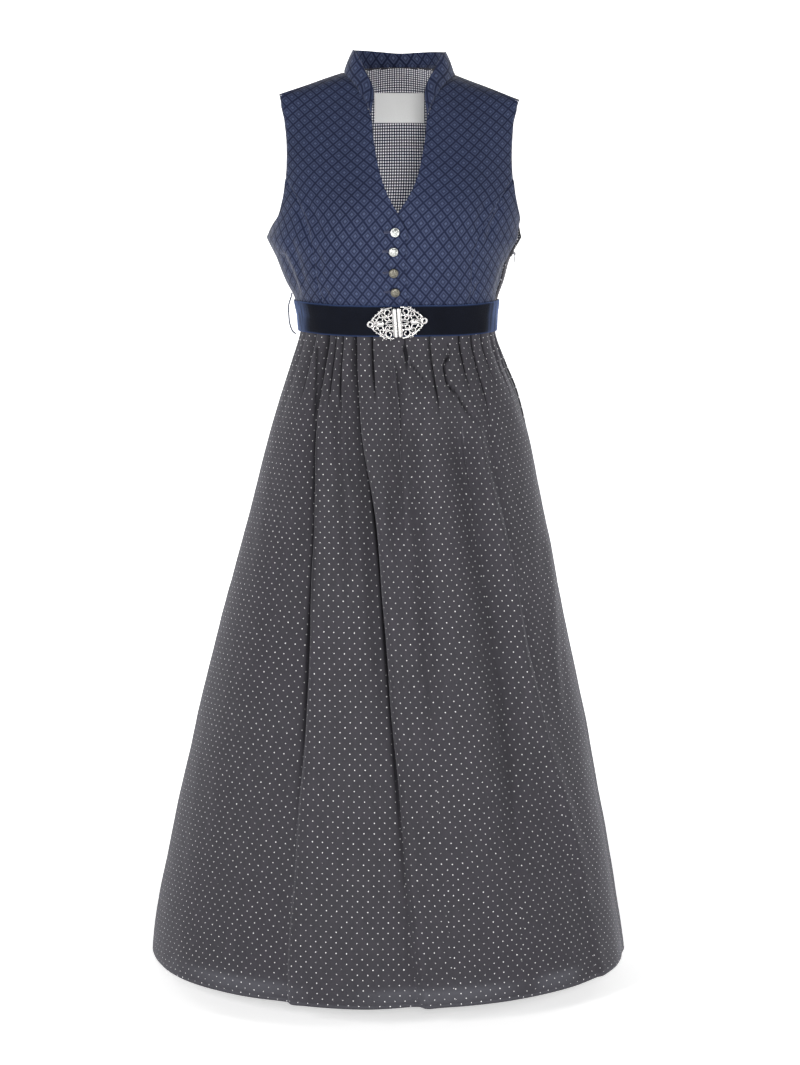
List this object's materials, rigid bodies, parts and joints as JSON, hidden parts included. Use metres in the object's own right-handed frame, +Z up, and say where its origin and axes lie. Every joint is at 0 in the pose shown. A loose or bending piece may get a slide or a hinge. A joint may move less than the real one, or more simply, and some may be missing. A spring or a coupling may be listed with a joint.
{
  "type": "dirndl dress",
  "caption": "Long sleeveless dirndl with a stand-collared blue jacquard bodice, a gathered pin-dot skirt and a velvet ribbon belt with a filigree buckle, filled out as worn.",
  "frame": {"origin": "midway between the two shoulder seams, where the wearer's shoulders hold the dress up", "axes": "+Z up along the wearer's body, -Y out of the dress's front, +X to the right of someone who looks at its front"},
  "size_m": [0.672, 0.5618, 1.2606],
  "materials": {
    "jacquard": "woven jacquard, dull with a slight sheen",
    "skirt_cloth": "matt printed cotton",
    "gingham": "matt woven check",
    "velvet": "velvet nap",
    "silver": "polished, darkened in its hollows",
    "pewter": "antiqued",
    "label": "satin weave",
    "thread": "twisted thread",
    "zip_metal": "enamelled"
  },
  "bodies": {
    "dress": {"front_left": "jacquard", "front_right": "jacquard", "side_front_left": "jacquard", "side_front_right": "jacquard", "back": "skirt_cloth", "back_lining": "gingham", "neck_label": "label", "collar": "jacquard", "skirt_front": "skirt_cloth", "skirt_back": "skirt_cloth", "belt": "velvet", "buckle_left": "silver", "buckle_right": "silver", "button_1": "pewter", "button_2": "pewter", "button_3": "pewter", "button_4": "pewter", "belt_loop": "thread", "zip_slider": "zip_metal"},
    "pull_tab": {"zip_pull_tab": "zip_metal"}
  },
  "joints": [
    {"name": "zip_tab_hinge", "type": "hinge", "parent": "dress", "child": "pull_tab", "pos_m": [0.15709, -0.0181, -0.227], "axis": [0, -1, 0], "range_deg": [-15, 120]}
  ]
}
